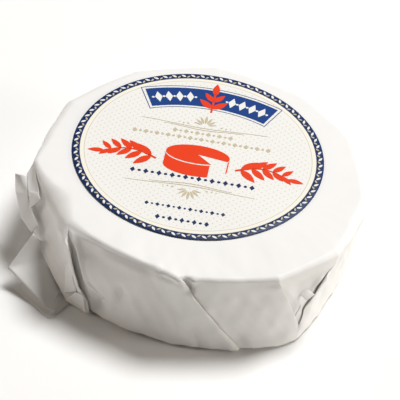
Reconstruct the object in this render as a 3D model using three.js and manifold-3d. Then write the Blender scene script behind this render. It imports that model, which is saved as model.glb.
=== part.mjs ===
// A small soft-ripened cheese wheel, sold wrapped: one cheese, one sheet of pleated paper folded
// round it, a round label on top and a plain seal underneath that holds the gathered pleats.
// Millimetres, +Z up. The origin is on the wheel's axis, at the surface that the wheel rests on.
// The top label reads upright when seen from -Y.
import * as THREE from 'three';
import { mergeVertices } from 'three/addons/utils/BufferGeometryUtils.js';
import { ConvexGeometry } from 'three/addons/geometries/ConvexGeometry.js';
import Module from 'manifold-3d';

const wasm = await Module();
wasm.setup();

// ---- driving dimensions ----
const WRAP_RADIUS = 52.5;         // nominal outer radius of the wrapped wheel
const WRAP_HEIGHT = 28;           // table to the top of the paper
const PAPER = 0.8;                // wall of the wrap: paper with the air and folds between its layers
const SHOULDER = 4;               // rounding of the paper over the top edge
const HEEL = 3;                   // rounding of the paper under the bottom edge
const TAUTNESS = 0.6;             // 0: paper follows the round cheese, 1: flat between two pleats

const CHEESE_RADIUS = 49;
const CHEESE_GAP = 0.3;           // air between the cheese and its paper
const CHEESE_EDGE = 5;            // soft rounding of the rind's edges
const CHEESE_BULGE = 0.5;         // how far the sides belly out between top and bottom

const LABEL_RADIUS = 40;
const LABEL_THICKNESS = 0.2;
const LABEL_CENTRE = [-2.5, 5.8]; // the label is stuck on a little off the wheel's axis

const SEAL_RADIUS = 30;
const SEAL_THICKNESS = 0.3;
const SEAL_CLEARANCE = 1;         // paper left round the seal in its shallow hollow
const GATHER_RADIUS = 12;         // hole left where the ends of the pleats meet, under the seal

const SEGMENTS = 72;

// Pleats, anticlockwise. azimuth and reach place the corner that a pleat makes in the rim,
// drift is how far the pleat's edge turns on its way down, and width is the overlap at the bottom.
const PLEATS = [
  { azimuth: -169, reach: 53.5, drift: 12, width: 9 },
  { azimuth: -137, reach: 52.5, drift: 14, width: 10 },
  { azimuth: -90, reach: 51.5, drift: 20, width: 12 },
  { azimuth: -56, reach: 53.8, drift: 12, width: 8 },
  { azimuth: -32, reach: 54.3, drift: -16, width: 9 },
  { azimuth: -2, reach: 53.6, drift: 12, width: 8 },
  { azimuth: 30, reach: 53.2, drift: 14, width: 9 },
  { azimuth: 60, reach: 53, drift: 14, width: 9 },
  { azimuth: 93, reach: 53.2, drift: -14, width: 9 },
  { azimuth: 125, reach: 53, drift: 14, width: 9 },
  { azimuth: 155, reach: 53.4, drift: 13, width: 9 },
];
const PLEAT_THICKNESS = 0.7;      // how far a folded pleat stands off the wall

// The paper's loose corner is folded but never tucked under: an upper fin and a lower ear.
// Each point is [radius, azimuth in degrees, height].
const FIN = [
  [51, -171, 24], [51, -150, 11], [51, -173, 15],
  [58, -168, 21.5], [57.5, -161, 16.5], [56, -149, 13], [54.5, -152, 11.5],
];
const EAR = [
  [51, -156, 13], [51, -158, 0.5], [51, -127, 0.5], [52, -130, 3],
  [65, -145, 6.5], [64, -141, 0.5], [61, -129, 0.5], [60, -129.5, 2],
];

// ---- helpers ----
const rad = (degrees) => (degrees * Math.PI) / 180;

function polar([radius, azimuth, height]) {
  const a = rad(azimuth);
  return new THREE.Vector3(radius * Math.cos(a), radius * Math.sin(a), height);
}

// Quarter turn of a profile's corner: centre, radius and the two angles in degrees.
function arc(cx, cz, r, from, to, steps) {
  const points = [];
  for (let i = 0; i <= steps; i++) {
    const a = rad(from + ((to - from) * i) / steps);
    points.push(new THREE.Vector2(cx + r * Math.cos(a), cz + r * Math.sin(a)));
  }
  return points;
}

// A lathe turned so that its axis is Z. The profile's x is the radius and its y the height.
function turned(profile) {
  return new THREE.LatheGeometry(profile, SEGMENTS).rotateX(Math.PI / 2);
}

function toSolid(geometry) {
  const bare = geometry.clone();
  bare.deleteAttribute('normal');
  bare.deleteAttribute('uv');
  const merged = mergeVertices(bare, 1e-4);
  const index = merged.index ? merged.index.array : merged.attributes.position.array.map((_, i) => i);
  const triVerts = [];
  for (let i = 0; i < index.length; i += 3) {
    const [a, b, c] = [index[i], index[i + 1], index[i + 2]];
    if (a !== b && b !== c && c !== a) triVerts.push(a, b, c);
  }
  return new wasm.Manifold(new wasm.Mesh({
    numProp: 3,
    vertProperties: new Float32Array(merged.attributes.position.array),
    triVerts: new Uint32Array(triVerts),
  }));
}

function fromSolid(solid) {
  const { vertProperties, triVerts, numProp } = solid.getMesh();
  const positions = new Float32Array(triVerts.length * 3);
  triVerts.forEach((v, i) => {
    for (let k = 0; k < 3; k++) positions[3 * i + k] = vertProperties[numProp * v + k];
  });
  const geometry = new THREE.BufferGeometry();
  geometry.setAttribute('position', new THREE.BufferAttribute(positions, 3));
  geometry.computeVertexNormals();
  return geometry;
}

function material(color, roughness) {
  return new THREE.MeshStandardMaterial({ color, roughness, metalness: 0 });
}

// ---- the wrap's outline seen from above ----
// Between two pleats the taut paper lies between the round cheese and the straight chord.
function rimRadius(angle) {
  const degrees = THREE.MathUtils.euclideanModulo((angle * 180) / Math.PI - PLEATS[0].azimuth, 360)
    + PLEATS[0].azimuth;
  let i = PLEATS.length - 1;
  while (PLEATS[i].azimuth > degrees + 1e-6) i--;
  const a = PLEATS[i];
  const b = PLEATS[(i + 1) % PLEATS.length];
  const end = i + 1 < PLEATS.length ? b.azimuth : b.azimuth + 360;
  const t = (degrees - a.azimuth) / (end - a.azimuth);
  const round = THREE.MathUtils.lerp(a.reach, b.reach, t);
  const span = rad(end - a.azimuth);
  const chord = (a.reach * b.reach * Math.sin(span))
    / (a.reach * Math.sin(t * span) + b.reach * Math.sin((1 - t) * span));
  return THREE.MathUtils.lerp(round, chord, TAUTNESS);
}

// Pulls a turned solid's outer part onto that outline and leaves its middle round.
function pullToRim(geometry) {
  const p = geometry.attributes.position;
  for (let i = 0; i < p.count; i++) {
    const radius = Math.hypot(p.getX(i), p.getY(i));
    if (radius < 1e-6) continue;
    const reach = rimRadius(Math.atan2(p.getY(i), p.getX(i))) / WRAP_RADIUS;
    const share = THREE.MathUtils.smoothstep(radius, SEAL_RADIUS + SEAL_CLEARANCE + 1, WRAP_RADIUS - SHOULDER);
    const k = 1 + (reach - 1) * share;
    p.setXY(i, p.getX(i) * k, p.getY(i) * k);
  }
  return geometry;
}

// ---- the pieces ----
function cheeseWheel() {
  const low = SEAL_THICKNESS + PAPER + CHEESE_GAP;
  const high = WRAP_HEIGHT - PAPER - CHEESE_GAP;
  const corner = CHEESE_RADIUS - CHEESE_BULGE - CHEESE_EDGE;
  const middle = (low + high) / 2;
  return turned([
    new THREE.Vector2(0, high),
    ...arc(corner, high - CHEESE_EDGE, CHEESE_EDGE, 90, 0, 4),
    new THREE.Vector2(CHEESE_RADIUS, middle),
    ...arc(corner, low + CHEESE_EDGE, CHEESE_EDGE, 0, -90, 4),
    new THREE.Vector2(0, low),
  ].reverse());
}

// One sheet: the top, the shoulder, the wall, the heel and the gathered base with its hole.
function sheetShell() {
  const inner = PAPER;
  const hollow = SEAL_RADIUS + SEAL_CLEARANCE;
  const outside = [
    new THREE.Vector2(0, WRAP_HEIGHT),
    ...arc(WRAP_RADIUS - SHOULDER, WRAP_HEIGHT - SHOULDER, SHOULDER, 90, 0, 4),
    ...arc(WRAP_RADIUS - HEEL, HEEL, HEEL, 0, -90, 3),
    new THREE.Vector2(hollow, 0),
    new THREE.Vector2(hollow, SEAL_THICKNESS),
    new THREE.Vector2(GATHER_RADIUS, SEAL_THICKNESS),
  ];
  const floor = SEAL_THICKNESS + inner;
  const inside = [
    new THREE.Vector2(GATHER_RADIUS, floor),
    ...arc(WRAP_RADIUS - HEEL, floor + HEEL - inner, HEEL - inner, -90, 0, 3),
    ...arc(WRAP_RADIUS - SHOULDER, WRAP_HEIGHT - SHOULDER, SHOULDER - inner, 0, 90, 4),
    new THREE.Vector2(0, WRAP_HEIGHT - inner),
  ];
  return toSolid(pullToRim(turned([...outside, ...inside].reverse())));
}

// A folded pleat: a long thin triangle that starts at the rim's corner and widens to the heel.
function pleat({ azimuth, drift, width }) {
  const top = WRAP_HEIGHT - SHOULDER;
  const side = Math.sign(drift);
  const edge = azimuth + drift;
  const hidden = edge - side * THREE.MathUtils.radToDeg(width / WRAP_RADIUS);
  const wall = (degrees) => rimRadius(rad(degrees));
  const points = [];
  for (const [degrees, height, stand] of [
    [azimuth, top, 0.2], [edge, HEEL, PLEAT_THICKNESS], [hidden, HEEL, 0.2],
  ]) {
    points.push(polar([wall(degrees) - PAPER / 2, degrees, height]));
    points.push(polar([wall(degrees) + stand, degrees, height]));
  }
  return toSolid(new ConvexGeometry(points));
}

function paperWrap() {
  let solid = sheetShell();
  for (const one of PLEATS) solid = solid.add(pleat(one));
  for (const loose of [FIN, EAR]) solid = solid.add(toSolid(new ConvexGeometry(loose.map(polar))));
  // Nothing of the folds may reach the space where the cheese sits.
  const roomRadius = CHEESE_RADIUS + CHEESE_GAP;
  const low = SEAL_THICKNESS + PAPER;
  const high = WRAP_HEIGHT - PAPER;
  const room = new THREE.CylinderGeometry(roomRadius, roomRadius, high - low - 2 * SHOULDER, SEGMENTS)
    .rotateX(Math.PI / 2)
    .translate(0, 0, (low + high) / 2);
  return fromSolid(solid.subtract(toSolid(room)));
}

function disc(radius, thickness) {
  return new THREE.CylinderGeometry(radius, radius, thickness, SEGMENTS)
    .rotateX(Math.PI / 2)
    .translate(0, 0, thickness / 2);
}

// ---- the object ----
const object = new THREE.Group();

function place(name, geometry, finish, position = [0, 0, 0]) {
  const mesh = new THREE.Mesh(geometry, finish);
  mesh.name = name;
  mesh.position.set(...position);
  object.add(mesh);
}

place('cheese_wheel', cheeseWheel(), material(0xf2ead6, 0.8));
place('paper_wrap', paperWrap(), material(0xf1efea, 0.5));
place('top_label', disc(LABEL_RADIUS, LABEL_THICKNESS), material(0xf3f0e6, 0.35), [...LABEL_CENTRE, WRAP_HEIGHT]);
place('base_seal', disc(SEAL_RADIUS, SEAL_THICKNESS), material(0xf6f4ee, 0.4));

export default object;
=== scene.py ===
"""A small soft cheese wheel in its folded paper, with a round label on top and a plain seal below.

The shape functions count in millimetres and degrees. MM turns millimetres into Blender's metres
when a mesh is made. Azimuths turn anticlockwise from +X, and the label reads upright from -Y.
"""
import math
from collections import namedtuple

import bmesh
import bpy
import numpy as np
from bpy.props import FloatProperty, FloatVectorProperty, PointerProperty
from mathutils import Matrix, Vector


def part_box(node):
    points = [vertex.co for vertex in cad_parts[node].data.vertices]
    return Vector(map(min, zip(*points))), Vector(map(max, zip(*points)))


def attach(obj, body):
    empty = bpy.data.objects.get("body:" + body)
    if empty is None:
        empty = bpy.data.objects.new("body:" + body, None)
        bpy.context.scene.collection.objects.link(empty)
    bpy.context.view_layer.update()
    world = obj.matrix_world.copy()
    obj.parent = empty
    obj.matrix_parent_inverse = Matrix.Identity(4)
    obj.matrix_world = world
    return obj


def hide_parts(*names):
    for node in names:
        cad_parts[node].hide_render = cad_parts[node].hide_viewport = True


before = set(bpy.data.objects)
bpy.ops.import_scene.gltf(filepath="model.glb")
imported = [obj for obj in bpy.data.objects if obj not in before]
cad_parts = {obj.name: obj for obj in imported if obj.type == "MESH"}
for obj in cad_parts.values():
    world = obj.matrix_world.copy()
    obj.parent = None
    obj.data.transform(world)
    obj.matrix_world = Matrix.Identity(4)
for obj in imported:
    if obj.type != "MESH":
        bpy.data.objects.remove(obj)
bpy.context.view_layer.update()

bl_info = {
    "name": "Wrapped Cheese Wheel",
    "version": (1, 0, 0),
    "blender": (4, 5, 0),
    "location": "View3D > Sidebar > Cheese",
    "description": "Builds a pleated paper wrap, its printed label, the base seal and the cheese inside",
    "category": "Object",
}

MM = 0.001
BODY = "root"

# ---- sizes that come from the frame, in millimetres ----


def frame_box(node):
    """Lowest and highest corner of a CAD node in millimetres, as two arrays."""
    low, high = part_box(node)
    return np.array(low) / MM, np.array(high) / MM


LABEL_LOW, LABEL_HIGH = frame_box("top_label")
LABEL_CENTRE = (LABEL_LOW[:2] + LABEL_HIGH[:2]) / 2
LABEL_RADIUS = (LABEL_HIGH[0] - LABEL_LOW[0]) / 2
SEAL_LOW, SEAL_HIGH = frame_box("base_seal")
SEAL_RADIUS = (SEAL_HIGH[0] - SEAL_LOW[0]) / 2
CHEESE_LOW, CHEESE_HIGH = frame_box("cheese_wheel")
CHEESE_RADIUS = (CHEESE_HIGH[0] - CHEESE_LOW[0]) / 2
WRAP_HIGH = LABEL_LOW[2]
WRAP_RADIUS = 52.5        # nominal radius of the wrapped wheel

# ---- the folds of the paper ----
# azimuth and reach place the corner that a pleat makes in the rim. Its edge turns by drift degrees
# on the way down, early if bend is under 1. side is 1 where the paper on the clockwise side lies
# on top, and -1 where the other does. overlap is the hidden return's width at the foot. lift is the
# height of the edge above the next layer near its start, halfway and at the foot, and lip the height
# of the ridge that the next layer makes beside it. The fold begins at the share opens of the wall.
Pleat = namedtuple("Pleat", "azimuth reach drift bend side overlap lift lip opens")
PLEATS = (
    Pleat(-169, 53.4, 38, 1.0, -1, 8, (0.9, 1.8, 1.3), (0, 0, 0), 0.0),
    Pleat(-135.6, 51.6, 15.6, 0.55, 1, 9, (2.5, 2.8, 1.0), (1.2, 1.2, 0), -0.06),
    Pleat(-89, 50.6, 21.8, 1.06, 1, 12, (1.4, 0.7, 0.5), (0, 0, 0), -0.08),
    Pleat(-56, 53.6, 11, 0.95, 1, 8, (0.6, 0.7, 0.4), (0, 0, 0), 0.0),
    Pleat(-32, 54.3, -17, 0.42, -1, 9, (1.3, 0.9, 0.42), (0.9, 0, 0), 0.15),
    Pleat(-2, 53.2, 10, 0.8, 1, 8, (0.4, 0.5, 0.4), (0, 0, 0), 0.1),
    Pleat(30, 53.2, 14, 0.8, 1, 9, (0.8, 1.0, 0.5), (0.6, 0, 0), 0.0),
    Pleat(60, 53.0, 14, 0.9, 1, 9, (0.7, 0.9, 0.5), (0.3, 0, 0), 0.05),
    Pleat(93, 53.2, -14, 0.8, -1, 9, (0.8, 1.1, 0.6), (0.8, 0, 0), 0.0),
    Pleat(125, 53.0, 14, 0.8, 1, 9, (0.8, 0.9, 0.5), (0.4, 0, 0), 0.02),
    Pleat(155, 53.4, 13, 0.9, 1, 9, (0.7, 1.0, 0.5), (0, 0, 0), 0.0),
)
FOOT_LEVEL = 0.55         # height of the paper's lowest layer at the foot of the wall
GATHER_RADIUS = 22.0      # where the ends of the pleats stop, under the seal
TOP_BELOW = 0.2           # how far the sheet's flat top lies below the label
UNDER_RISE = 0.35         # how far the underside rises behind the heel
TAUT_RIM, TAUT_FOOT = 0.6, 0.3    # between two pleats: 0 follows an arc, 1 the straight chord
CREASE_STARTS = 0.1       # share of a fold's length over which its crease forms
FOLD_GAP = 0.14           # air inside the hidden turn of a fold
COVER, COVER_FADE = 0.2, 3.5      # how far a layer stands off a hidden turn, and how soon it is down
SETTLE = 13.0             # distance over which the paper comes down from a fold to the wall
RIDGE_AWAY, RIDGE_WIDTH = 1.7, 0.95       # the ridge beside an edge that lies over the paper
COLUMN_GAP = 1.35         # distance between two columns of the sheet's grid away from the folds
CHEESE_EDGE, CHEESE_AIR = 3.2, 0.45       # rounding and air that the paper keeps to the cheese
LABEL_FADE = 7.0          # distance from the label's edge over which the wrinkles grow
LOOSE_RIM, LOOSE_WALL, LOOSE_UNDER = 0.15, 0.6, 0.3       # shares of the wrinkles' height
# How round the paper's shoulder is: azimuth and share of the wrap's shoulder. It is crisp in front
# and at the left pleat, and very soft over the corner between them.
ROUNDNESS = (
    (-180, 0.9), (-170, 0.5), (-160, 0.9), (-148, 2.0), (-138, 1.2), (-126, 0.55), (-100, 0.45),
    (-70, 0.45), (-40, 0.5), (-15, 0.8), (20, 1.0), (80, 1.0), (140, 1.0),
)
# The foot of the wall seen from above: azimuth and radius.
FOOT = (
    (-180, 52.6), (-150, 52.6), (-128, 52.2), (-110, 51.6), (-90, 52.2), (-68, 53.8), (-50, 55.5),
    (-28, 50.9), (0, 49.9), (35, 51.0), (70, 52.0), (110, 52.2), (150, 52.6),
)
# Soft dents and lumps where the paper was pushed about: azimuth, distance down from the rim,
# width along the rim, width down the wall, and height of the lump.
LUMPS = (
    # the opening inside the top of the front pleat
    (-86.9, 2.2, 1.2, 1.6, -1.3),
    (-85.4, 4.2, 1.0, 1.7, -1.2),
    (-84.6, 1.3, 0.9, 1.0, 0.6),
    # the small arch beside it and a pinched ridge
    (-91.6, 0.6, 2.6, 0.8, 0.7),
    (-91.8, 2.6, 2.2, 0.8, -0.7),
    (-97.3, 1.8, 1.2, 2.8, 0.4),
    (-94.9, 2.4, 0.7, 2.2, -0.4),
    # soft folds on the front wall
    (-88.0, 15.0, 3.6, 9.0, 0.7),
    (-112.6, 17.0, 1.4, 5.0, 0.5),
    (-109.4, 14.0, 0.9, 5.0, -0.4),
    (-103, 9.0, 9.0, 5.0, 0.3),
    # the recess at the slit's foot
    (-118.4, 22.0, 2.7, 2.9, -1.5),
    # the soft belly beside the slit, shaded on its upper side, and a shallow fold under it
    (-117.0, 10.5, 8.5, 4.6, 0.8),
    (-122.5, 4.0, 4.0, 3.0, -0.6),
    (-108.5, 13.5, 2.2, 3.0, -0.5),
    (-58, 26.0, 9.0, 2.2, 0.6),
    # the hollow where the two right hand folds meet
    (-44.4, 17.0, 1.5, 2.6, -1.0),
    (-46, 6.0, 6.0, 2.2, -0.4),
)


# ---- small helpers ----


def smooth(x):
    """0 below 0, 1 above 1, and 3x^2 - 2x^3 between."""
    x = np.clip(x, 0, 1)
    return x * x * (3 - 2 * x)


def mix(a, b, share):
    """a at share 0, b at share 1, straight between."""
    return a + (b - a) * share


def kept_above(value, least, ease):
    """The larger of the two, with a soft change from one to the other: least + ease * log(1 + e^x),
    where x is how many times ease the value is above the least."""
    return least + ease * np.logaddexp(0, (value - least) / ease)


def grid_faces(rows, columns, closed=False):
    """Quads between neighbouring rows and columns, facing outwards where rows go out and columns turn
    anticlockwise. A closed grid joins its last column to its first."""
    i, j = np.meshgrid(np.arange(rows - 1), np.arange(columns - (not closed)), indexing="ij")
    k = (j + 1) % columns
    quads = np.stack([i * columns + j, (i + 1) * columns + j, (i + 1) * columns + k, i * columns + k], -1)
    return quads.reshape(-1, 4)


def polar(radius, azimuth, height):
    """Points from radius, azimuth in degrees and height, as one array with x, y, z last."""
    turn = np.radians(azimuth)
    return np.stack(np.broadcast_arrays(radius * np.cos(turn), radius * np.sin(turn), height), -1)


def joined(parts):
    """One list of points and one of faces from several (points, faces) pairs."""
    points, faces, start = [], [], 0
    for some, polygons in parts:
        points.append(some.reshape(-1, some.shape[-1]))
        faces.extend((np.asarray(polygons) + start).tolist())
        start += len(points[-1])
    return np.concatenate(points), faces


def new_mesh(name, points, faces, merge=0.0, face_up=False):
    """A mesh from points in millimetres. merge joins points that near to each other, and face_up
    turns over the faces that look down."""
    mesh = bpy.data.meshes.new(name)
    mesh.from_pydata((points * MM).tolist(), [], faces if isinstance(faces, list) else faces.tolist())
    work = bmesh.new()
    work.from_mesh(mesh)
    if merge:
        bmesh.ops.remove_doubles(work, verts=work.verts, dist=merge * MM)
        bmesh.ops.dissolve_degenerate(work, edges=work.edges, dist=merge * MM / 2)
    if face_up:
        bmesh.ops.reverse_faces(work, faces=[f for f in work.faces if f.normal.z < 0])
    work.to_mesh(mesh)
    work.free()
    mesh.validate()
    return mesh


def new_object(name, data):
    """An object that holds the data, linked to the scene."""
    made = bpy.data.objects.new(name, data)
    bpy.context.scene.collection.objects.link(made)
    return made


def new_piece(mesh, material, wall=0.0, smooth_faces=True):
    """A piece at the origin that rides on the body. wall gives a sheet its thickness, inwards."""
    mesh.polygons.foreach_set("use_smooth", np.full(len(mesh.polygons), smooth_faces))
    mesh.materials.append(material)
    piece = new_object(mesh.name, mesh)
    if wall:
        thick = piece.modifiers.new("paper_thickness", "SOLIDIFY")
        thick.thickness = wall * MM
        thick.offset = -1
    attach(piece, BODY)
    return piece


# ---- the paper sheet ----

Rows = namedtuple("Rows", "reach tilt down under way")
# How many rows the top, the shoulder, the wall, the heel and the underside have.
ROW_COUNTS = (16, 10, 46, 6, 14)


def by_part(*ends):
    """A value for each row, from the values at the start and the end of each part of the sheet."""
    return np.concatenate([np.linspace(a, b, n + 1)[1:] for (a, b), n in zip(ends, ROW_COUNTS)])


def sheet_rows():
    """The sheet's rows from its centre out, over the rim, down the wall and in underneath. reach is
    the share of the way out on top, tilt the angle of the outward normal from straight up, down the
    share of the wall's height, under the share of the way in below, and way the folds' progress."""
    out = 1 - (1 - np.linspace(0, 1, ROW_COUNTS[0])) ** 1.5
    reach = np.concatenate([out, np.ones(sum(ROW_COUNTS[1:]))])
    tilt = by_part((0, 0), (0, 90), (90, 90), (90, 180), (180, 180))
    down = by_part((0, 0), (0, 0), (0, 1), (1, 1), (1, 1))
    under = by_part((0, 0), (0, 0), (0, 0), (0, 0), (0, 1))
    before_wall = np.clip(1 - tilt / 90, 0, 1)
    return Rows(reach, tilt, down, under, down - 0.15 * before_wall)


def begun(pleat, way):
    """The share of its own length that a fold has run at each row."""
    return np.clip((way - pleat.opens) / (1 - pleat.opens), 0, 1)


def edge_azimuth(pleat, way):
    """Where the pleat's free edge stands at each row: it drifts as a power of the way down."""
    return pleat.azimuth + pleat.drift * begun(pleat, way) ** pleat.bend


def return_width(pleat, start):
    """Width of the pleat's hidden return where start is the share of its length that it has run."""
    return pleat.overlap * start ** 0.8


def rim_radius(azimuth, rows):
    """Radius of the taut sheet: between two pleats it lies between an arc and the straight chord,
    nearer the chord at the rim, and its corners follow the pleats' edges down."""
    edges = np.stack([edge_azimuth(p, rows.way) for p in PLEATS])
    edges = np.maximum.accumulate(edges, axis=0)
    edges = np.concatenate([edges, edges[:1] + 360])
    reach = [p.reach for p in PLEATS] + [PLEATS[0].reach]
    turned = edges[0][:, None] + np.mod(azimuth - edges[0][:, None], 360)
    taut = mix(TAUT_RIM, TAUT_FOOT, rows.down)[:, None]
    radius = np.zeros_like(turned)
    for k in range(len(PLEATS)):
        low, high = edges[k][:, None], edges[k + 1][:, None]
        span = np.radians(np.maximum(high - low, 0.5))
        part = np.radians(turned - low)
        straight = reach[k] * reach[k + 1] * np.sin(span) / np.maximum(
            reach[k] * np.sin(part) + reach[k + 1] * np.sin(span - part), 1e-3)
        around = mix(reach[k], reach[k + 1], part / span)
        inside = (turned >= low) & (turned <= high)
        radius = np.where(inside, mix(around, straight, taut), radius)
    return radius


def ring_curve(table, azimuth):
    """A closed curve round the wheel through a table's (azimuth, value) points, cubic between two."""
    at = np.array([a for a, _ in table], float)
    value = np.array([v for _, v in table], float)
    turned = at[0] + np.mod(azimuth - at[0], 360)
    k = np.searchsorted(at, turned, side="right") - 1
    n = len(at)
    ahead = np.append(at, at[0] + 360)
    t = (turned - at[k]) / (ahead[k + 1] - at[k])
    p0, p1, p2, p3 = value[(k - 1) % n], value[k], value[(k + 1) % n], value[(k + 2) % n]
    return 0.5 * (2 * p1 + (p2 - p0) * t + (2 * p0 - 5 * p1 + 4 * p2 - p3) * t ** 2
                  + (3 * p1 - p0 - 3 * p2 + p3) * t ** 3)


def cheese_side(height):
    """Radius of the cheese and the air round it at a height: upright, with round edges."""
    edge = CHEESE_EDGE
    off = np.maximum(np.maximum(height - (CHEESE_HIGH[2] - edge), CHEESE_LOW[2] + edge - height), 0)
    return CHEESE_RADIUS + CHEESE_AIR - edge + np.sqrt(np.maximum(edge ** 2 - off ** 2, 0))


def top_relief(x, y):
    """Long low waves of the paper's top, which the label follows."""
    return 0.16 * np.sin(x / 13 + 0.8) * np.cos(y / 15 - 0.4) + 0.07 * np.sin((x + y) / 9 + 2)


# How many waves, how many times each goes up and down round the wheel, its pitch down the wall, its
# height, and whether its crests are sharp.
WAVES = ((9, (5, 26), (14, 40), 0.10, False), (7, (9, 34), (16, 50), 0.11, True))


def waves(azimuth, run):
    """Height of the wrinkles at an azimuth and a distance run down from the rim: waves with whole
    numbers round the wheel, some with sharp crests."""
    rng = np.random.default_rng(7)
    turn = np.radians(azimuth)
    height = np.zeros(np.broadcast(turn, run).shape)
    for many, counts, pitches, strength, sharp in WAVES:
        for _ in range(many):
            count, pitch, phase = rng.integers(*counts), rng.uniform(*pitches), rng.uniform(0, 2 * np.pi)
            wave = np.sin(count * turn + run * 2 * np.pi / pitch * rng.choice([-1, 1]) + phase)
            height += strength * (1 - 2 * np.abs(wave) ** 0.8 if sharp else wave)
    return height


def lumps(azimuth, run):
    """Height of the listed LUMPS: each a bell curve along the rim times one down the wall."""
    height = 0
    for place, below, wide, tall, lump in LUMPS:
        off = np.radians(np.mod(azimuth - place + 180, 360) - 180) * WRAP_RADIUS
        height = height + lump * np.exp(-(off / wide) ** 2 - ((run - below) / tall) ** 2)
    return height


def fold_columns(pleat, rows, wrap):
    """The columns of one fold, in the order in which the sheet runs anticlockwise: round the free
    edge, back underneath and round the hidden edge. Each has an azimuth and a height over the wall
    for every row. Both turns are half circles."""
    start = begun(pleat, rows.way)
    crisp = smooth(start / CREASE_STARTS)
    per_mm = np.degrees(1 / (WRAP_RADIUS * mix(1, 0.5, rows.under)))
    edge = edge_azimuth(pleat, rows.way)
    hidden = edge - pleat.side * return_width(pleat, start) * per_mm
    lift = crisp * np.interp(start, (0.1, 0.45, 1), pleat.lift) * mix(1, 0.6, rows.under)
    roll = crisp * np.minimum(wrap.fold_roll / MM, lift * 0.3)
    gap = crisp * np.minimum(FOLD_GAP, lift * 0.3)
    azimuth, height = [], []
    for angle in np.radians(np.linspace(90, -90, 7)):
        azimuth.append(edge + pleat.side * roll * (np.cos(angle) - 1) * per_mm)
        height.append(lift - roll + roll * np.sin(angle))
    for share in (0.2, 0.45, 0.72):
        azimuth.append(mix(edge - pleat.side * roll * per_mm, hidden, share))
        height.append(mix(lift - 2 * roll, gap, share))
    for angle in np.radians(np.linspace(90, 270, 5)):
        azimuth.append(hidden + pleat.side * gap / 2 * np.cos(angle) * per_mm)
        height.append(gap / 2 + gap / 2 * np.sin(angle))
    order = slice(None) if pleat.side > 0 else slice(None, None, -1)
    return np.array(azimuth)[order], np.array(height)[order]


# Where a facet's columns lie near a fold: shares of the paper under a free edge, distances beyond
# that edge, and distances from a fold that the facet's own paper lies over.
COVERED = (0.25, 0.6, 0.85)
BESIDE_EDGE = (0.1, 0.5, 0.9, 1.3, 1.7, 2.2, 2.9)
ON_TOP = (0.7, 1.6, 2.8)


def facet_columns(before, after, folds, rows):
    """The columns of the paper between two folds, closer together beside the folds' edges. The paper
    leaves a free edge at that edge's height and comes down to the wall over a short width. It rises
    in a narrow ridge, a bell curve of the distance, beside an edge that lies over it, and where it
    lies on top it stands a little off the hidden turn."""
    first_turn, first_height = folds[0][0][-1], folds[0][1][-1]
    last_turn, last_height = folds[1][0][0], folds[1][1][0]
    edges = [edge_azimuth(p, rows.way) for p in (before, after)]
    edges[1] = edges[1] + (360 if edges[1][0] < edges[0][0] else 0)
    per_mm = np.degrees(1 / WRAP_RADIUS)
    ends = ((before, edges[0], first_turn, 1), (after, edges[1], last_turn, -1))
    nearby = []
    for pleat, edge, turned, inwards in ends:
        if pleat.side == inwards:
            columns = [mix(turned, edge, share) for share in COVERED]
            columns += [edge + inwards * far * per_mm for far in BESIDE_EDGE]
        else:
            columns = [turned + inwards * far * per_mm for far in ON_TOP]
        nearby.append(columns)
    starting, ending = nearby
    width = np.max(ending[-1] - starting[-1]) / per_mm
    inner = np.linspace(0, 1, max(4, int(width / COLUMN_GAP)) + 2)[1:-1]
    middle = [mix(starting[-1], ending[-1], share) for share in inner]
    turn = np.array(starting + middle + ending[::-1])
    from_first = np.clip(1 - (turn - first_turn) / per_mm / SETTLE, 0, 1) ** 1.6
    from_last = np.clip(1 - (last_turn - turn) / per_mm / SETTLE, 0, 1) ** 1.6
    height = first_height * from_first + last_height * from_last
    for pleat, edge, turned, inwards in ends:
        start = begun(pleat, rows.way)
        crisp = smooth(start / CREASE_STARTS)
        if pleat.side == inwards:
            beside = (turn - edge) * inwards / per_mm
            ridge = np.interp(start, (0.05, 0.45, 0.8), pleat.lip) * crisp
            height = height + ridge * np.exp(-((beside - RIDGE_AWAY) / RIDGE_WIDTH) ** 2)
        else:
            covered = return_width(pleat, start) - (turn - turned) * inwards / per_mm
            height = height + COVER * crisp * smooth(1 + covered / COVER_FADE)
    return turn, height


def taut_radius(azimuth, height, rows):
    """Radius of the bare wall: from the rim above to the foot below, never inside the cheese."""
    radius = mix(rim_radius(azimuth, rows), ring_curve(FOOT, azimuth), rows.down[:, None])
    return kept_above(radius, cheese_side(height), 0.35)


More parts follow.
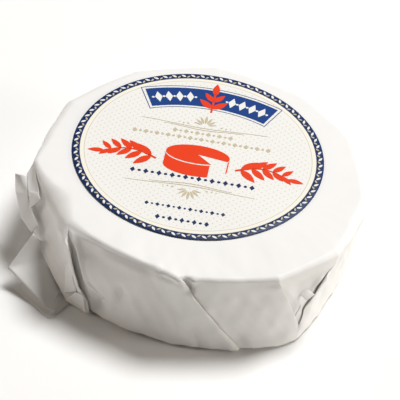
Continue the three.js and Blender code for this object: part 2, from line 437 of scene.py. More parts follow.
def wrapped_sheet(wrap):
    """The whole folded sheet: points for a grid of rows and columns."""
    rows = sheet_rows()
    folds = [fold_columns(p, rows, wrap) for p in PLEATS]
    azimuth, lift = [], []
    for k, fold in enumerate(folds):
        nearby = folds[(k + 1) % len(folds)]
        if k + 1 == len(folds):
            nearby = (nearby[0] + 360, nearby[1])
        facet = facet_columns(PLEATS[k], PLEATS[(k + 1) % len(folds)], (fold, nearby), rows)
        azimuth += [fold[0], facet[0]]
        lift += [fold[1], facet[1]]
    azimuth, lift = np.concatenate(azimuth).T, np.concatenate(lift).T
    down, tilt, under = rows.down[:, None], np.radians(rows.tilt)[:, None], rows.under[:, None]
    shoulder, heel = wrap.shoulder / MM * ring_curve(ROUNDNESS, azimuth), wrap.heel / MM
    low = FOOT_LEVEL + heel + UNDER_RISE * smooth(under * 3)
    round_edge = mix(shoulder, heel, down)
    height = mix(WRAP_HIGH - TOP_BELOW - shoulder, low, down) + round_edge * np.cos(tilt)
    radius = taut_radius(azimuth, height, rows)
    reach = rows.reach[:, None] * mix(1, GATHER_RADIUS / WRAP_RADIUS, under)
    radius = reach * (radius - round_edge) + round_edge * np.sin(tilt)
    run = np.where(down > 0, WRAP_HIGH - height,
                   shoulder * (tilt + 1 - np.pi / 2) - (1 - reach) * WRAP_RADIUS)
    x, y = radius * np.cos(np.radians(azimuth)), radius * np.sin(np.radians(azimuth))
    from_label = np.hypot(x - LABEL_CENTRE[0], y - LABEL_CENTRE[1]) - LABEL_RADIUS
    off_label = smooth((from_label - 0.5) / LABEL_FADE)
    loose = off_label * mix(LOOSE_RIM, LOOSE_WALL, smooth(run / 9)) * np.where(under > 0, LOOSE_UNDER, 1)
    raised = lift + waves(azimuth, run) * wrap.wrinkles * loose + lumps(azimuth, run) * off_label
    up = np.where(rows.tilt[:, None] < 90, np.cos(tilt) * top_relief(x, y), 0)
    radius = radius + raised * np.sin(tilt)
    height = height + raised * np.cos(tilt) + up
    lowest = np.where(radius < SEAL_RADIUS + 1, SEAL_HIGH[2] + 0.08, 0.04)
    return polar(radius, azimuth, kept_above(height, lowest, 0.05))


# ---- the sheet's loose corner ----
# Each flap is a four-sided patch: its corners as distance out from the bare wall, azimuth and
# height, and how far its middle bellies out.
Flap = namedtuple("Flap", "corners belly")
FLAPS = (
    # the fin beside the rim: three faces outside, the inner one up to the rim and a small one below
    Flap(((5.6, -165.5, 25.2), (2.4, -166.3, 23.8), (2.0, -159.8, 21.0), (6.4, -166, 17.4)), 0.3),
    Flap(((6.4, -166, 17.4), (2.0, -159.8, 21.0), (1.8, -155.9, 18.9), (5.2, -156.2, 15.0)), 0.3),
    Flap(((5.2, -156.2, 15.0), (1.8, -155.9, 18.9), (1.5, -149.4, 16.8), (3.0, -149.7, 14.1)), 0.2),
    Flap(((2.4, -166.3, 23.8), (-0.1, -169.4, 26.9), (0.0, -156.0, 23.8), (1.9, -159.5, 21.2)), -0.5),
    Flap(((1.7, -160.0, 22.4), (0.6, -156.4, 24.6), (0.6, -153.6, 24.2), (2.3, -155.4, 19.2)), 0.3),
    # the ear: upper face, lower face, the turned-in end and the layer on the table
    Flap(((3.3, -148.2, 15.3), (0.2, -147.5, 10.0), (0.6, -142.5, 8.2), (12.8, -145.4, 6.0)), -0.5),
    Flap(((12.8, -145.4, 6.0), (0.6, -142.5, 8.2), (0.3, -134, 1.6), (9.0, -129.3, 2.0)), 0.5),
    Flap(((9.0, -129.3, 2.0), (0.6, -133.2, 1.2), (0.2, -129, 0.4), (6.4, -128.1, 0.3)), -0.3),
    Flap(((12.3, -141.9, 0.3), (0.4, -146, 0.6), (0.3, -128.0, 0.3), (10.5, -127.0, 0.2)), 0.2),
    # the tuck on the near side of the front slit: two narrow folds and the foot they end in
    Flap(((1.8, -129.0, 19.8), (1.8, -131.1, 14.6), (1.6, -130.7, 8.5), (1.7, -127.4, 12.4)), 0.2),
    Flap(((1.7, -127.4, 12.4), (1.6, -130.7, 8.5), (1.5, -131.0, 2.8), (1.5, -125.0, 7.4)), -0.3),
    Flap(((1.9, -125.2, 7.6), (1.9, -128.8, 2.3), (1.0, -121.2, 1.4), (2.1, -121.8, 8.6)), 0.3),
    # the layer over the recess at the slit's foot
    Flap(((-0.6, -121.3, 16.5), (1.25, -122.6, 13.0), (0.0, -115.8, 8.5), (-0.8, -112.5, 13.5)), 0.1),
    # the small lit tongue between the two right hand folds
    Flap(((0.0, -47.6, 18.3), (0.0, -45.0, 19.4), (2.2, -43.4, 18.3), (1.9, -46.2, 17.2)), 0.1),
)
FLAP_STEPS = 14


def flap_patch(flap):
    """A patch between four corners, straight along both ways, with its middle pushed out along the
    patch's normal as the product of two half sine waves."""
    stand, azimuth, height = np.array(flap.corners, float).T
    down = np.clip((WRAP_HIGH - height) / (WRAP_HIGH - FOOT_LEVEL), 0, 1)
    rows = Rows(None, None, down, None, down)
    wall = taut_radius(azimuth[:, None], height[:, None], rows)[:, 0]
    a, b, c, d = polar(wall + stand, azimuth, height)
    u, v = np.meshgrid(*[np.linspace(0, 1, FLAP_STEPS)] * 2, indexing="ij")
    u, v = u[..., None], v[..., None]
    flat = mix(mix(a, b, u), mix(d, c, u), v)
    normal = np.cross(d - b, c - a)
    normal /= np.linalg.norm(normal)
    return flat + flap.belly * np.sin(np.pi * u) * np.sin(np.pi * v) * normal


# ---- node helpers and shared effects ----


def add_node(tree, kind, inputs=None, **settings):
    """A node of that kind with its settings, and its input sockets set to values or linked."""
    node = tree.nodes.new(kind)
    for name, value in settings.items():
        setattr(node, name, value)
    for key, value in (inputs or {}).items():
        socket = node.inputs[key]
        if isinstance(value, bpy.types.NodeSocket):
            tree.links.new(value, socket)
        else:
            socket.default_value = value
    return node


def math_node(tree, operation, first, second=0.0):
    """The result of one sum on two numbers."""
    return add_node(tree, "ShaderNodeMath", {0: first, 1: second}, operation=operation).outputs[0]


def vector_math(tree, operation, first, second=(0, 0, 0), output="Vector"):
    """The result of one sum on two vectors: output is Vector, or Value for a number."""
    made = add_node(tree, "ShaderNodeVectorMath", {0: first, 1: second}, operation=operation)
    return made.outputs[output]


def mapped(tree, place, **inputs):
    """A position moved, turned or scaled."""
    return add_node(tree, "ShaderNodeMapping", {"Vector": place, **inputs}).outputs["Vector"]


def noise(tree, place, scale, detail=3.0, roughness=0.5):
    """Soft noise from 0 to 1, with scale waves in a metre."""
    made = add_node(tree, "ShaderNodeTexNoise",
                    {"Vector": place, "Scale": scale, "Detail": detail, "Roughness": roughness})
    return made.outputs["Fac"]


def new_material(name):
    """An empty node material, and its tree."""
    material = bpy.data.materials.new(name)
    material.use_nodes = True
    material.node_tree.nodes.clear()
    return material, material.node_tree


def add_shader(tree, inputs):
    """The material's shader with these inputs, joined to its output."""
    shader = add_node(tree, "ShaderNodeBsdfPrincipled", inputs)
    add_node(tree, "ShaderNodeOutputMaterial", {"Surface": shader.outputs["BSDF"]})


# Paper's grain: how many clouds, crumples and fibres there are in a metre.
CLOUD_SCALE, CRUMPLE_SCALE, FIBRE_SCALE = 90.0, 260.0, 1800.0


def paper_grain_group():
    """Shared effect: the look of thin coated paper. Tint darkens slightly in clouds, Height carries
    the fibres and a faint crumple, and Gloss varies the roughness."""
    name = "paper_grain"
    if name in bpy.data.node_groups:
        return bpy.data.node_groups[name]
    tree = bpy.data.node_groups.new(name, "ShaderNodeTree")
    tree.interface.new_socket(name="Position", in_out="INPUT", socket_type="NodeSocketVector")
    for label, default in (("Fibre Scale", FIBRE_SCALE), ("Cloud Depth", 0.03), ("Base Roughness", 0.5)):
        socket = tree.interface.new_socket(name=label, in_out="INPUT", socket_type="NodeSocketFloat")
        socket.default_value = default
    for label in ("Tint", "Height", "Gloss"):
        tree.interface.new_socket(name=label, in_out="OUTPUT", socket_type="NodeSocketFloat")
    source = tree.nodes.new("NodeGroupInput").outputs
    cloud = noise(tree, source["Position"], CLOUD_SCALE, 4.0)
    fibre = noise(tree, source["Position"], source["Fibre Scale"], 2.0)
    crumple = noise(tree, source["Position"], CRUMPLE_SCALE, 3.0, 0.6)
    tint = math_node(tree, "SUBTRACT", 1.0, math_node(tree, "MULTIPLY", cloud, source["Cloud Depth"]))
    height = math_node(tree, "ADD", math_node(tree, "MULTIPLY", fibre, 0.35), crumple)
    gloss = math_node(tree, "ADD", source["Base Roughness"], math_node(tree, "MULTIPLY", crumple, 0.12))
    add_node(tree, "NodeGroupOutput", {"Tint": tint, "Height": height, "Gloss": gloss})
    return tree


def paper_material(name, colour, roughness, bump, cloud=0.03, pattern=None):
    """A paper or printed surface: its colour times the grain's tint, with the grain's gloss and a
    bump that many millimetres high. pattern, if given, makes the colour from (tree, position)."""
    material, tree = new_material(name)
    place = add_node(tree, "ShaderNodeTexCoord").outputs["Object"]
    grain = add_node(tree, "ShaderNodeGroup", {"Position": place, "Cloud Depth": cloud,
                                               "Base Roughness": roughness},
                     node_tree=paper_grain_group()).outputs
    base = pattern(tree, place) if pattern else tuple(colour)
    tinted = add_node(tree, "ShaderNodeVectorMath", {0: base, "Scale": grain["Tint"]}, operation="SCALE")
    relief = add_node(tree, "ShaderNodeBump",
                      {"Strength": 1.0, "Distance": bump * MM, "Height": grain["Height"]})
    add_shader(tree, {"Base Color": tinted.outputs["Vector"], "Roughness": grain["Gloss"],
                      "Normal": relief.outputs["Normal"], "Specular IOR Level": 0.2})
    return material


def rings(tree, distance, zones):
    """A colour by distance from a centre: zones lists (where the colour begins, colour)."""
    reach = zones[-1][0] * 1.25
    ramp = add_node(tree, "ShaderNodeValToRGB", {"Fac": math_node(tree, "DIVIDE", distance, reach)})
    ramp.color_ramp.interpolation = "CONSTANT"
    stops = ramp.color_ramp.elements
    while len(stops) < len(zones):
        stops.new(0.5)
    for stop, (begins, colour) in zip(stops, zones):
        stop.position = begins / reach
        stop.color = (*colour, 1.0)
    return ramp.outputs["Color"]


DOT_STRENGTH = 0.7        # how much of the dots' colour shows over the card's


def label_pattern(label):
    """The card's printed ground: a fine slanting grid of dots, a hairline ring, a cream band and the
    dark border, all measured from the label's centre."""
    def pattern(tree, place):
        centre = LABEL_CENTRE * MM
        flat = vector_math(tree, "MULTIPLY", mapped(tree, place, Location=(-centre[0], -centre[1], 0)),
                           (1, 1, 0))
        distance = vector_math(tree, "LENGTH", flat, output="Value")
        pitch = label.dot_pitch
        turned = mapped(tree, flat, Rotation=(0, 0, math.radians(45)), Scale=(1 / pitch, 1 / pitch, 1))
        cell = vector_math(tree, "FRACTION", turned)
        middle = vector_math(tree, "DISTANCE", cell, (0.5, 0.5, 0), "Value")
        dot = math_node(tree, "LESS_THAN", middle, label.dot_size / pitch / 2)
        border = LABEL_RADIUS * MM - label.border_width
        band = border - label.band_width
        ground = rings(tree, distance, [(0.0, label.card_colour), (band, label.line_colour),
                                        (band + label.line_width, label.band_colour),
                                        (border, label.navy_colour)])
        inside = math_node(tree, "LESS_THAN", distance, band - pitch * 0.4)
        amount = math_node(tree, "MULTIPLY", math_node(tree, "MULTIPLY", dot, inside), DOT_STRENGTH)
        mixed = add_node(tree, "ShaderNodeMix", {0: amount, 6: ground, 7: (*label.dot_colour, 1.0)},
                         data_type="RGBA")
        return mixed.outputs[2]
    return pattern


# ---- the print on the label ----
# Shapes are flat, in millimetres from the label's centre, as (points, faces) pairs.


def strip(left, right):
    """A band of quads between two lines of points."""
    return np.stack([left, right]), grid_faces(2, len(left))


def line_band(path, width):
    """A line of even width along a path, offset to both sides along its normals."""
    along = np.gradient(path, axis=0)
    along /= np.linalg.norm(along, axis=1, keepdims=True)
    side = np.stack([-along[:, 1], along[:, 0]], -1) * np.asarray(width).reshape(-1, 1) / 2
    return strip(path + side, path - side)


def on_circle(radius, azimuth, centre=(0.0, 0.0)):
    """Points on a circle at azimuths in degrees."""
    turn = np.radians(azimuth)
    return np.stack([np.cos(turn), np.sin(turn)], -1) * radius + np.array(centre)


def arc_path(radius, first, last, centre=(0.0, 0.0), count=40):
    """Points along a circle from one azimuth to another."""
    return on_circle(radius, np.linspace(first, last, count), centre)


def leaf_outline(length, width, count=16):
    """A leaf lying along +X from the origin: two arcs of a power of a sine, pointed at both ends."""
    t = np.linspace(0, 1, count // 2 + 1)
    half = width / 2 * np.sin(np.pi * t ** 0.85) ** 0.9
    upper = np.stack([t * length, half], -1)
    lower = np.stack([t[-2:0:-1] * length, -half[-2:0:-1]], -1)
    return np.concatenate([upper, lower])


def lozenge(width, height):
    """The four corners of an upright diamond."""
    return np.array([(-width / 2, 0), (0, -height / 2), (width / 2, 0), (0, height / 2)])


def bead(radius, count=12):
    """Even points round a small circle."""
    return on_circle(radius, np.arange(count) * 360 / count)


def stamped(outline, places, angles, sizes=1.0):
    """Copies of one outline at places, each turned by its angle in degrees and scaled."""
    places = np.atleast_2d(places)
    turn = np.radians(np.broadcast_to(angles, len(places)))[:, None]
    size = np.broadcast_to(sizes, len(places))[:, None]
    x, y = outline[None, :, 0] * size, outline[None, :, 1] * size
    points = np.stack([x * np.cos(turn) - y * np.sin(turn), x * np.sin(turn) + y * np.cos(turn)], -1)
    points += places[:, None, :]
    return points, np.arange(points.shape[0] * points.shape[1]).reshape(points.shape[:2])


def printed(name, shapes, level, material, ink):
    """One colour of print: flat shapes laid on the label's waves, level layers of ink above it."""
    flat, faces = joined(shapes)
    x, y = flat[:, 0] + LABEL_CENTRE[0], flat[:, 1] + LABEL_CENTRE[1]
    height = LABEL_HIGH[2] + top_relief(x, y) + level * ink / MM
    mesh = new_mesh(name, np.stack([x, y, height], -1), faces, face_up=True)
    new_piece(mesh, material, wall=ink / MM * 0.8, smooth_faces=False)


# The ribbon is part of a ring round this centre: its radii and half its angle. A thin line of this
# width runs round it, with a small gap between them.
BANNER_CENTRE = (0.0, -21.0)
BANNER_OUTER, BANNER_INNER, BANNER_HALF = 54.0, 43.2, 24.5
HAIRLINE, HAIRLINE_GAP = 0.28, 0.9


def banner_shapes():
    """An arched ribbon with a thin line round it."""
    left, right = 90 + BANNER_HALF, 90 - BANNER_HALF
    shapes = [strip(arc_path(BANNER_OUTER - HAIRLINE_GAP, left, right, BANNER_CENTRE),
                    arc_path(BANNER_INNER + HAIRLINE_GAP, left, right, BANNER_CENTRE))]
    out = BANNER_HALF + 1.2
    for radius in (BANNER_OUTER, BANNER_INNER):
        shapes.append(line_band(arc_path(radius, 90 + out, 90 - out, BANNER_CENTRE), HAIRLINE))
    for end in (-1, 1):
        reach = np.linspace(BANNER_INNER, BANNER_OUTER, 6)[:, None]
        shapes.append(line_band(on_circle(reach, 90 + end * out, BANNER_CENTRE), HAIRLINE))
    return shapes


def banner_marks():
    """White lozenges and beads along the ribbon, on both sides of its middle."""
    middle = (BANNER_OUTER + BANNER_INNER) / 2
    marks = np.array([-20.5, -16.4, -12.3, -8.2, 8.2, 12.3, 16.4, 20.5])
    between = np.array([-22.7, -18.45, -14.35, -10.25, -6.1, 6.1, 10.25, 14.35, 18.45, 22.7])
    return [stamped(lozenge(2.5, 5.2), on_circle(middle, 90 - marks, BANNER_CENTRE), -marks),
            stamped(bead(0.45), on_circle(middle, 90 - between, BANNER_CENTRE), 0)]


def border_flecks():
    """Two rings of small slanting leaves in the dark border."""
    count = 78
    turn = np.arange(count) * 360 / count
    offset = 180 / count
    border = LABEL_RADIUS - 1.25      # the middle of the dark border
    leaf = leaf_outline(1.9, 0.8, 12) - np.array([0.95, 0])
    small = leaf_outline(1.5, 0.6, 12) - np.array([0.75, 0])
    return ([stamped(leaf, on_circle(border + 0.15, turn), turn + 50)],
            [stamped(small, on_circle(border - 0.35, turn + offset), turn + offset + 128)])


def banner_sprig():
    """A small upright sprig over the ribbon's middle: a stem, two pairs of leaves and a tip."""
    foot = np.array([0.9, 20.6])
    stem = np.stack([np.full(8, foot[0]), np.linspace(foot[1], 31.0, 8)], -1)
    places = np.array([(0.9, 22.6), (0.9, 22.6), (0.9, 26.2), (0.9, 26.2), (0.9, 29.6)])
    angles = np.array([42, 138, 52, 128, 90])
    sizes = np.array([1.0, 1.0, 0.85, 0.85, 1.0])
    return [line_band(stem, 0.7), stamped(leaf_outline(6.2, 2.4, 16), places, angles, sizes)]


def sprig(side):
    """A leafy sprig beside the middle picture: a curved stem with leaves in pairs."""
    t = np.linspace(0, 1, 24)
    stem = np.stack([side * (12.6 + 16.6 * t), -6.0 + 3.4 * np.sin(np.pi * t * 0.9) - 1.0 * t], -1)
    share = np.repeat((0.10, 0.30, 0.50, 0.70, 0.88), 2)
    up = np.tile((-1, 1), 5)
    places = np.stack([np.interp(share, t, stem[:, k]) for k in (0, 1)], -1)
    outwards = 0 if side > 0 else 180
    places = np.concatenate([places, stem[-1:]])
    angles = np.append(outwards + side * up * 44, outwards - side * 8)
    sizes = np.append(1.12 - 0.45 * share, 0.8)
    return [line_band(stem, mix(0.8, 0.45, t)), stamped(leaf_outline(6.6, 2.5, 20), places, angles, sizes)]


def wheel_picture():
    """A cheese wheel with a wedge cut out, seen from above at a slant, in solid colour with gaps."""
    centre, wide, tall, deep = np.array([0.0, -1.2]), 10.2, 4.4, 5.6
    squash = np.array([wide, tall])
    cut = (-62, -18)
    top = arc_path(1.0, cut[1], cut[0] + 360, count=60) * squash + centre
    shapes = [strip(np.repeat(centre[None], 60, 0), top)]
    gap = np.array([0, -0.55])
    for first, last in ((-180, cut[0] - 2), (cut[1] + 2, 0)):
        rim = arc_path(1.0, first, last, count=24) * squash + centre + gap
        shapes.append(strip(rim, rim + np.array([0, -deep])))
    return shapes


def fan(centre, up):
    """A half round fan of seven petals, the middle one longest."""
    angles = np.linspace(20, 160, 7) * up
    lengths = 1 - 0.35 * np.abs(np.linspace(-1, 1, 7))
    return [stamped(leaf_outline(4.0, 0.95, 12), on_circle(1.3, angles, centre), angles, lengths)]


def flourish(level, up):
    """A gold flourish: a double hairline that thins out to both sides, a fan and a few beads."""
    t = np.linspace(-1, 1, 50)
    shapes = []
    for gap, wide in ((0.0, 20.5), (1.0, 13.0)):
        path = np.stack([t * wide, level - up * gap - up * 0.5 * np.cos(np.pi * t)], -1)
        shapes.append(line_band(path, 0.30 - 0.14 * np.abs(t)))
    shapes += fan((0.0, level + up * 0.7), up)
    side = np.array([(s * x, level + up * 0.9) for s in (-1, 1) for x in (5.4, 6.9, 8.4)])
    shapes.append(stamped(bead(0.34, 10), side, 0, np.tile([1.0, 0.8, 0.6], 2)))
    return shapes


# Rows of small marks: a lozenge's width and height, the row's level, its pitch, how many marks it
# has, and the radius of the beads between the lozenges.
NAVY_ROWS = ((1.7, 2.4, -12.7, 2.1, 19, 0.55), (1.4, 1.8, -27.0, 1.7, 15, 0.4),
             (1.5, 2.3, -32.4, 1.9, 9, 0.5))
GOLD_ROWS = ((1.6, 2.1, 9.3, 1.8, 11, 0.45), (1.6, 2.1, 6.3, 1.8, 25, 0.45))


def rows_of_marks(table):
    """Rows of lozenges with beads between them, each centred on the label."""
    shapes = []
    for wide, tall, level, pitch, count, dot in table:
        places = np.stack([(np.arange(count) - (count - 1) / 2) * pitch, np.full(count, level)], -1)
        shapes += [stamped(lozenge(wide, tall), places[::2], 0), stamped(bead(dot), places[1::2], 0)]
    return shapes


# ---- settings ----

LENGTH = {"subtype": "DISTANCE", "unit": "LENGTH"}
COLOUR = {"subtype": "COLOR", "size": 3, "min": 0, "max": 1}


class CheeseSettings(bpy.types.PropertyGroup):
    bumps: FloatProperty(name="Rind bumps", description="How far the rind rises and falls",
                         default=0.00022, min=0, max=0.001, **LENGTH)
    colour: FloatVectorProperty(name="Rind colour", description="Creamy skin under the white bloom",
                                default=(0.86, 0.80, 0.66), **COLOUR)


class WrapSettings(bpy.types.PropertyGroup):
    paper: FloatProperty(name="Paper thickness", description="Thickness of the sheet",
                         default=0.0001, min=0.00003, max=0.0005, **LENGTH)
    shoulder: FloatProperty(name="Shoulder", description="Rounding of the paper over the top edge",
                            default=0.0034, min=0.001, max=0.006, **LENGTH)
    heel: FloatProperty(name="Heel", description="Rounding of the paper under the bottom edge",
                        default=0.0008, min=0.0005, max=0.004, **LENGTH)
    fold_roll: FloatProperty(name="Fold radius", description="Radius of the crease along a pleat's edge",
                             default=0.00022, min=0.0001, max=0.001, **LENGTH)
    wrinkles: FloatProperty(name="Wrinkles", description="Strength of the soft wrinkles",
                            default=1.0, min=0, max=3)
    colour: FloatVectorProperty(name="Paper colour", description="Coated white wrapping paper",
                                default=(0.885, 0.876, 0.858), **COLOUR)


class LabelSettings(bpy.types.PropertyGroup):
    ink: FloatProperty(name="Ink thickness", description="Thickness of one layer of print",
                       default=0.00003, min=0.00001, max=0.0002, **LENGTH)
    border_width: FloatProperty(name="Border width", description="Width of the dark leafy border",
                                default=0.0025, min=0.001, max=0.006, **LENGTH)
    band_width: FloatProperty(name="Band width", description="Width of the cream band inside the border",
                              default=0.0016, min=0, max=0.006, **LENGTH)
    line_width: FloatProperty(name="Hairline width", description="Width of the ring inside the band",
                              default=0.00028, min=0.0001, max=0.001, **LENGTH)
    dot_pitch: FloatProperty(name="Dot pitch", description="Distance between two dots of the ground",
                             default=0.00165, min=0.0005, max=0.005, **LENGTH)
    dot_size: FloatProperty(name="Dot size", description="Width of a dot of the ground",
                            default=0.0005, min=0.0001, max=0.002, **LENGTH)
    card_colour: FloatVectorProperty(name="Card colour", description="Ground of the label",
                                     default=(0.86, 0.855, 0.815), **COLOUR)
    band_colour: FloatVectorProperty(name="Band colour", description="Cream band",
                                     default=(0.90, 0.865, 0.76), **COLOUR)
    line_colour: FloatVectorProperty(name="Hairline colour", description="Ring inside the band",
                                     default=(0.60, 0.54, 0.40), **COLOUR)
    dot_colour: FloatVectorProperty(name="Dot colour", description="Dots of the ground",
                                    default=(0.62, 0.59, 0.52), **COLOUR)
    navy_colour: FloatVectorProperty(name="Navy ink", description="Border and small marks",
                                     default=(0.008, 0.028, 0.105), **COLOUR)
    ribbon_colour: FloatVectorProperty(name="Ribbon ink", description="The arched ribbon",
                                       default=(0.006, 0.050, 0.235), **COLOUR)
    red_colour: FloatVectorProperty(name="Red ink", description="The middle picture and the sprigs",
                                    default=(0.83, 0.050, 0.006), **COLOUR)
    gold_colour: FloatVectorProperty(name="Gold ink", description="Flourishes and beads",
                                     default=(0.62, 0.53, 0.36), **COLOUR)
    white_colour: FloatVectorProperty(name="White ink", description="Marks on the ribbon and leaves",
                                      default=(0.86, 0.86, 0.83), **COLOUR)


class SealSettings(bpy.types.PropertyGroup):
    colour: FloatVectorProperty(name="Seal colour", description="Plain adhesive seal",
                                default=(0.84, 0.82, 0.77), **COLOUR)


class StageSettings(bpy.types.PropertyGroup):
    floor_colour: FloatVectorProperty(name="Floor colour", description="Plain pale floor",
                                      default=(0.93, 0.925, 0.915), **COLOUR)
    key_power: FloatProperty(name="Key light", description="Power of the key light",
                             default=92.5, min=0, unit="POWER")
    sky: FloatProperty(name="Surroundings", description="Strength of the light from all round",
                       default=0.035, min=0)


# ---- operators: one for each piece or group of like pieces, and one for the stage ----


class CHEESE_OT_make_stage(bpy.types.Operator):
    """Make the camera, the lights and the floor"""
    bl_idname = "cheese.make_stage"
    bl_label = "Make Stage"

    def execute(self, context):
        stage = context.scene.cheese_stage
        add_camera(context.scene)
        add_floor(stage)
        add_lights(stage)
        return {"FINISHED"}


def add_camera(scene):
    """A long lens that looks down at the wheel from the front, a little from its right, and leans."""
    azimuth, elevation, lean = math.radians(4.73), math.radians(41.88), math.radians(6.27)
    target, distance = Vector((0.00014, -0.00045, 0.014)), 0.6045
    data = bpy.data.cameras.new("camera")
    data.sensor_width, data.lens = 36.0, 170.58
    data.clip_start, data.clip_end = 0.05, 20
    camera = new_object("camera", data)
    back = Vector((math.sin(azimuth) * math.cos(elevation), -math.cos(azimuth) * math.cos(elevation),
                   math.sin(elevation)))
    camera.location = target + back * distance
    level = (-back).to_track_quat("-Z", "Y").to_matrix()
    camera.rotation_euler = (level @ Matrix.Rotation(lean, 3, "Z")).to_euler()
    scene.camera = camera


FLOOR_RADIUS = 4.0        # metres


def add_floor(stage):
    """A wide round floor, as a grid of rings that lie further apart as they go out."""
    radius = np.concatenate([[0], np.geomspace(0.05, FLOOR_RADIUS, 24)])[:, None]
    points = polar(radius / MM, np.arange(0, 360, 5)[None, :], 0.0)
    faces = grid_faces(len(radius), points.shape[1], closed=True)
    mesh = new_mesh("floor", points.reshape(-1, 3), faces, merge=0.001)
    floor = new_object("floor", mesh)
    material, tree = new_material("floor_board")
    add_shader(tree, {"Base Color": (*stage.floor_colour, 1), "Roughness": 0.7, "Specular IOR Level": 0.2})
    mesh.materials.append(material)


# Each lamp's azimuth and height in degrees, its share of the key light's power, and its colour. All
# are this far from the wheel, and this wide, in metres.
LIGHTS = {
    "key_light": (54, 61, 1.0, (1.0, 1.0, 1.0)),
    "right_fill": (0, 12, 0.42, (1.0, 0.96, 0.88)),
    "left_fill": (180, 22, 0.20, (1.0, 0.90, 0.80)),
    "front_fill": (-70, 12, 0.042, (1.0, 0.80, 0.62)),
}
LIGHT_DISTANCE, LIGHT_SIZE = 3.0, 1.1
SKY_COLOUR = (1.0, 0.90, 0.80, 1.0)


def add_lights(stage):
    """A round lamp high behind and to the right, low fills from the right, left and front, all turned
    towards the wheel, and dim surroundings."""
    for name, (azimuth, elevation, share, colour) in LIGHTS.items():
        data = bpy.data.lights.new(name, "AREA")
        data.shape, data.size, data.energy, data.color = "DISK", LIGHT_SIZE, stage.key_power * share, colour
        light = new_object(name, data)
        turn, up = math.radians(azimuth), math.radians(elevation)
        place = Vector((math.cos(turn) * math.cos(up), math.sin(turn) * math.cos(up), math.sin(up)))
        light.location = place * LIGHT_DISTANCE
        light.rotation_euler = (-place).to_track_quat("-Z", "Y").to_euler()
    world = bpy.data.worlds.new("surroundings")
    world.use_nodes = True
    shade = world.node_tree.nodes["Background"]
    shade.inputs["Color"].default_value = SKY_COLOUR
    shade.inputs["Strength"].default_value = stage.sky
    bpy.context.scene.world = world
    bpy.context.scene.view_settings.view_transform = "Standard"


class CHEESE_OT_make_cheese(bpy.types.Operator):
    """Make the cheese itself, with its bloomy rind"""
    bl_idname = "cheese.make_cheese"
    bl_label = "Make Cheese"

    def execute(self, context):
        settings = context.scene.cheese_core
        material = rind_material(settings.colour)
        points, faces = rind_surface(settings.bumps / MM)
        piece = new_piece(new_mesh("cheese_rind", points, faces, merge=0.001), material)
        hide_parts("cheese_wheel")
        return {"FINISHED"}


RIND_EDGE = 5.0           # soft rounding of the rind's edges
BLOOM_COLOUR = (0.88, 0.86, 0.80)


def rind_surface(bumps):
    """A flat round loaf: a circle of the cheese's radius swept with quarter round edges, closed at
    both poles, with low waves on it."""
    edge, steps = RIND_EDGE, 12
    low, high = CHEESE_LOW[2], CHEESE_HIGH[2]
    corner = CHEESE_RADIUS - edge
    out = np.linspace(0, corner, steps)
    bend = np.radians(np.linspace(0, 90, 8))
    side = np.linspace(high - edge, low + edge, 10)[1:-1]
    radius = np.concatenate([out, corner + edge * np.sin(bend[1:]), np.full(len(side), CHEESE_RADIUS),
                             corner + edge * np.cos(bend), out[-2::-1]])
    height = np.concatenate([np.full(steps, high), high - edge + edge * np.cos(bend[1:]), side,
                             low + edge - edge * np.sin(bend), np.full(steps - 1, low)])
    azimuth = np.arange(0, 360, 2.5)[None, :]
    turn = np.radians(azimuth)
    wave = np.sin(9 * turn + height[:, None]) * np.sin(5 * turn - height[:, None] * 0.7)
    inwards = bumps * (wave - 1) * smooth(radius[:, None] / 20)
    points = polar(radius[:, None] + inwards, azimuth, height[:, None])
    return points.reshape(-1, 3), grid_faces(len(radius), azimuth.shape[1], closed=True)


def rind_material(colour):
    """Chalky white bloom over a creamier skin, patchy and softly bumpy."""
    material, tree = new_material("bloomy_rind")
    place = add_node(tree, "ShaderNodeTexCoord").outputs["Object"]
    patches = noise(tree, place, 120.0, 5.0, 0.6)
    fluff = noise(tree, place, 900.0, 4.0, 0.7)
    ramp = add_node(tree, "ShaderNodeValToRGB", {"Fac": patches})
    for stop, at, shade in zip(ramp.color_ramp.elements, (0.35, 0.6), (colour, BLOOM_COLOUR)):
        stop.position = at
        stop.color = (*shade, 1)
    relief = add_node(tree, "ShaderNodeBump", {"Strength": 0.6, "Distance": 0.0003, "Height": fluff})
    add_shader(tree, {"Base Color": ramp.outputs["Color"], "Roughness": 0.9,
                      "Normal": relief.outputs["Normal"]})
    return material


class CHEESE_OT_make_wrap(bpy.types.Operator):
    """Make the folded paper, with its pleats and its loose corner"""
    bl_idname = "cheese.make_wrap"
    bl_label = "Make Paper Wrap"

    def execute(self, context):
        wrap = context.scene.cheese_wrap
        sheet = wrapped_sheet(wrap)
        parts = [(sheet, grid_faces(*sheet.shape[:2], closed=True))]
        parts += [(flap_patch(f), grid_faces(FLAP_STEPS, FLAP_STEPS)) for f in FLAPS]
        points, faces = joined(parts)
        material = paper_material("coated_paper", wrap.colour, 0.42, 0.02)
        mesh = new_mesh("folded_paper", points, faces, merge=0.004)
        piece = new_piece(mesh, material, wall=wrap.paper / MM)
        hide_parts("paper_wrap")
        return {"FINISHED"}


class CHEESE_OT_make_label(bpy.types.Operator):
    """Make the round label on top"""
    bl_idname = "cheese.make_label"
    bl_label = "Make Label"

    def execute(self, context):
        label = context.scene.cheese_label
        points, faces = disc_surface(LABEL_CENTRE, LABEL_RADIUS, LABEL_LOW[2], LABEL_HIGH[2], top_relief)
        material = paper_material("label_card", label.card_colour, 0.4, 0.006, cloud=0.02,
                                  pattern=label_pattern(label))
        piece = new_piece(new_mesh("round_label", points, faces, merge=0.001), material)
        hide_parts("top_label")
        return {"FINISHED"}


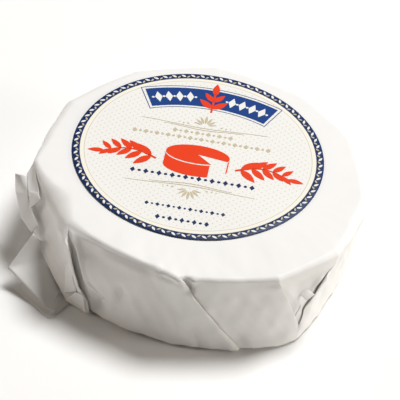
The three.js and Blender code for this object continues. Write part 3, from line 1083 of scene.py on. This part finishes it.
def disc_surface(centre, radius, low, high, relief=None):
    """A thin round card, closed at both poles: out over the top, down its cut edge and back in
    underneath, lifted by relief(x, y)."""
    steps = 24
    out = radius * np.linspace(0, 1, steps)
    nick = (high - low) * 0.2
    profile = np.concatenate([out[:-1], [radius - nick, radius, radius, radius - nick], out[-2::-1]])
    height = np.concatenate([np.full(steps - 1, high), [high, high - nick, low + nick, low],
                             np.full(steps - 1, low)])
    points = polar(profile[:, None], np.arange(0, 360, 2)[None, :], height[:, None])
    points[..., :2] += centre
    if relief:
        points[..., 2] += relief(points[..., 0], points[..., 1])
    return points.reshape(-1, 3), grid_faces(len(profile), points.shape[1], closed=True)


class CHEESE_OT_make_print(bpy.types.Operator):
    """Print the label: border, ribbon, picture, flourishes and rows of small marks"""
    bl_idname = "cheese.make_print"
    bl_label = "Make Label Print"

    def execute(self, context):
        label = context.scene.cheese_label
        pale, golden = border_flecks()
        picture = wheel_picture() + sprig(1) + sprig(-1) + banner_sprig()
        ornament = flourish(12.6, 1) + flourish(-17.0, -1) + rows_of_marks(GOLD_ROWS) + golden
        # name, shapes, layer, material slot, colour and how cloudy the ink is
        inks = (
            ("ribbon", banner_shapes(), 1, "label_navy", label.ribbon_colour, 0.08),
            ("navy", rows_of_marks(NAVY_ROWS), 1, "label_navy", label.navy_colour, 0.08),
            ("white", banner_marks() + pale, 2, "label_white", label.white_colour, 0.03),
            ("gold", ornament, 2, "label_gold", label.gold_colour, 0.1),
            ("red", picture, 2, "label_red", label.red_colour, 0.06),
        )
        for name, shapes, level, slot, colour, cloud in inks:
            material = paper_material(name + "_ink", colour, 0.4, 0.002, cloud)
            printed("print_" + name, shapes, level, material, label.ink)
        return {"FINISHED"}


class CHEESE_OT_make_seal(bpy.types.Operator):
    """Make the plain seal under the gathered pleats"""
    bl_idname = "cheese.make_seal"
    bl_label = "Make Base Seal"

    def execute(self, context):
        centre = (SEAL_LOW[:2] + SEAL_HIGH[:2]) / 2
        points, faces = disc_surface(centre, SEAL_RADIUS, SEAL_LOW[2], SEAL_HIGH[2])
        material = paper_material("seal_paper", context.scene.cheese_seal.colour, 0.5, 0.01)
        piece = new_piece(new_mesh("bottom_seal", points, faces, merge=0.001), material)
        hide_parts("base_seal")
        return {"FINISHED"}


class CHEESE_PT_panel(bpy.types.Panel):
    """Lists the pieces and their settings"""
    bl_label = "Cheese Wheel"
    bl_idname = "CHEESE_PT_panel"
    bl_space_type = "VIEW_3D"
    bl_region_type = "UI"
    bl_category = "Cheese"

    def draw(self, context):
        for operator, settings in STEPS:
            box = self.layout.box()
            box.operator(operator)
            group = getattr(context.scene, settings)
            for name in group.bl_rna.properties.keys():
                if name not in ("rna_type", "name"):
                    box.prop(group, name)


STEPS = (
    ("cheese.make_stage", "cheese_stage"),
    ("cheese.make_cheese", "cheese_core"),
    ("cheese.make_wrap", "cheese_wrap"),
    ("cheese.make_label", "cheese_label"),
    ("cheese.make_print", "cheese_label"),
    ("cheese.make_seal", "cheese_seal"),
)
GROUPS = {
    "cheese_stage": StageSettings, "cheese_core": CheeseSettings, "cheese_wrap": WrapSettings,
    "cheese_label": LabelSettings, "cheese_seal": SealSettings,
}
CLASSES = (
    *GROUPS.values(), CHEESE_OT_make_stage, CHEESE_OT_make_cheese, CHEESE_OT_make_wrap,
    CHEESE_OT_make_label, CHEESE_OT_make_print, CHEESE_OT_make_seal, CHEESE_PT_panel,
)


def register():
    for made in CLASSES:
        bpy.utils.register_class(made)
    for name, group in GROUPS.items():
        setattr(bpy.types.Scene, name, PointerProperty(type=group))


def unregister():
    for name in GROUPS:
        delattr(bpy.types.Scene, name)
    for made in reversed(CLASSES):
        bpy.utils.unregister_class(made)


def main():
    register()
    for operator, _ in STEPS:
        group, name = operator.split(".")
        getattr(getattr(bpy.ops, group), name)()


if __name__ == "__main__":
    main()
